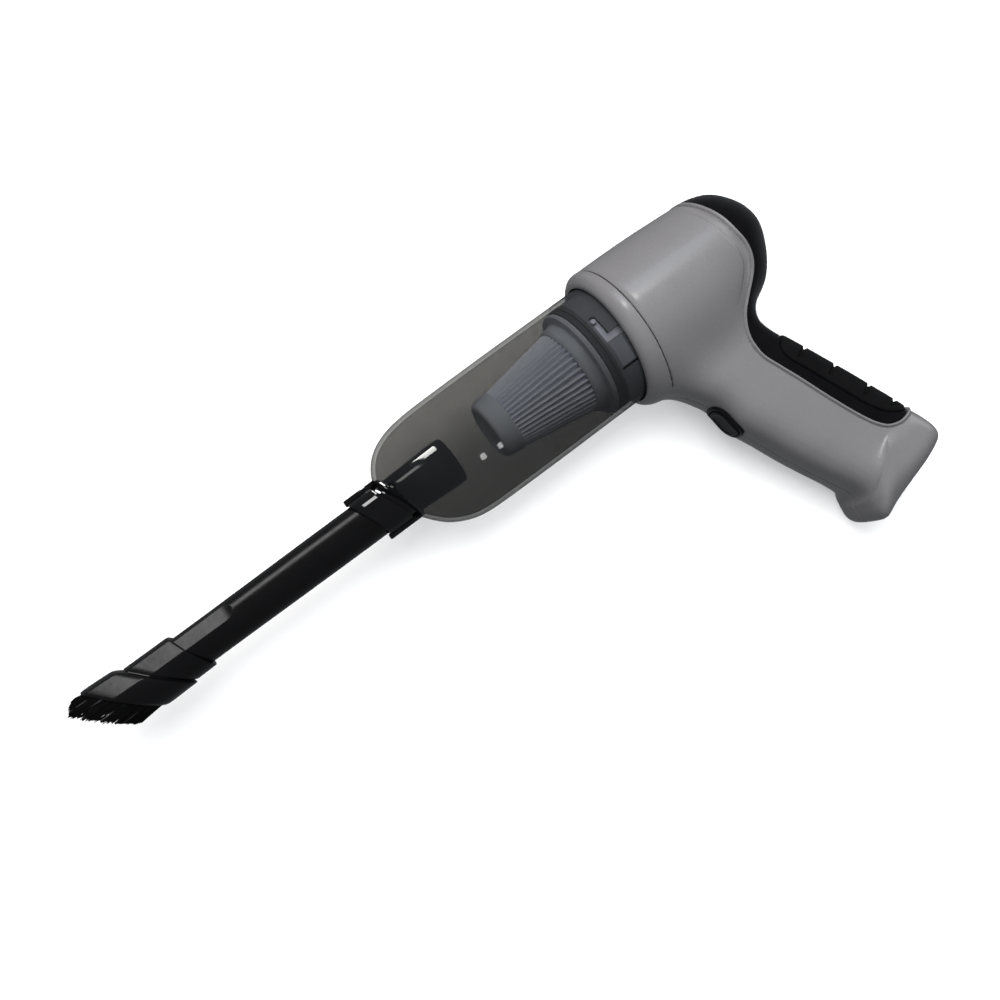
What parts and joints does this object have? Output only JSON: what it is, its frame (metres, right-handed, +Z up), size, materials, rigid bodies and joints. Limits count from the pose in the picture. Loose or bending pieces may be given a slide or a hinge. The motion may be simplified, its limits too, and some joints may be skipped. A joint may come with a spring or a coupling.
{
  "type": "handheld car vacuum cleaner",
  "caption": "Pistol-grip handheld car vacuum with a smoked see-through dust cup, pleated cone filter, long crevice nozzle and a slide-on slanted brush.",
  "frame": {"origin": "middle of the footprint of the tool as it lies on its right side, on the table plane", "axes": "+X along the barrel from the nozzle to the rear, +Y towards the top of the tool away from the grip, +Z up from the table towards the tool's left side"},
  "size_m": [0.392, 0.1766, 0.0704],
  "materials": {
    "shell_grey": "satin moulded plastic",
    "black_cover": "gloss moulded plastic",
    "black_grip": "soft touch",
    "black_trim": "gloss",
    "dark_plastic": "matte",
    "board": "solder mask",
    "wire": "insulation",
    "cell": "shrink sleeve",
    "steel": "plain",
    "magnet": "plain",
    "bronze": "plain",
    "rubber": "plain",
    "foam": "open foam",
    "neck_grey": "satin",
    "filter_plastic": "satin",
    "filter_cloth": "pleated filter cloth",
    "smoke": "clear smoke tint",
    "black_gloss": "gloss moulded plastic",
    "bristle": "nylon tufts"
  },
  "bodies": {
    "case": {"left_shell": "shell_grey", "right_shell": "shell_grey", "front_collar": "shell_grey", "rear_cover": "black_cover", "grip_pad": "black_grip", "button_bezel": "black_trim", "button_switch": "dark_plastic", "control_board": "board", "power_leads": "wire", "battery_cells": "cell", "battery_holder": "dark_plastic", "charge_socket": "steel", "case_screws": "steel", "motor_can": "steel", "motor_end_bell": "dark_plastic", "motor_magnets": "magnet", "motor_bushings": "bronze", "motor_mount": "rubber", "fan_shroud": "dark_plastic", "exhaust_foam": "foam", "neck_ring": "neck_grey", "filter_frame": "filter_plastic", "filter_pleats": "filter_cloth", "filter_cap": "filter_plastic"},
    "fan": {"rotor_shaft": "steel", "rotor_core": "steel", "impeller": "dark_plastic"},
    "button": {"power_button": "black_trim"},
    "seal": {"seal_ring": "rubber"},
    "cup": {"dust_cup": "smoke", "inlet_duct": "black_gloss"},
    "nozzle": {"nozzle_tube": "black_gloss"},
    "brush": {"brush_sleeve": "black_gloss", "bristles": "bristle"}
  },
  "joints": [
    {"name": "fan_spin", "type": "hinge", "parent": "case", "child": "fan", "pos_m": [0.135, 0.05309, 0.0352], "axis": [1, 0, 0], "continuous": true},
    {"name": "button_press", "type": "slide", "parent": "case", "child": "button", "axis": [0.9114, 0.4093, 0.0423], "range_m": [0, 0.0015], "stiffness_N_per_m": 900, "springref_m": -0.001},
    {"name": "cup_twist", "type": "hinge", "parent": "case", "child": "seal", "pos_m": [0.095, 0.05309, 0.0352], "axis": [-1, 0, 0], "range_deg": [0, 20]},
    {"name": "cup_pull", "type": "slide", "parent": "seal", "child": "cup", "axis": [-1, 0, 0], "range_m": [0, 0.09]},
    {"name": "nozzle_pull", "type": "slide", "parent": "cup", "child": "nozzle", "axis": [-1, 0, 0], "range_m": [0, 0.045]},
    {"name": "brush_slide", "type": "slide", "parent": "nozzle", "child": "brush", "axis": [1, 0, 0], "range_m": [0, 0.024]}
  ]
}
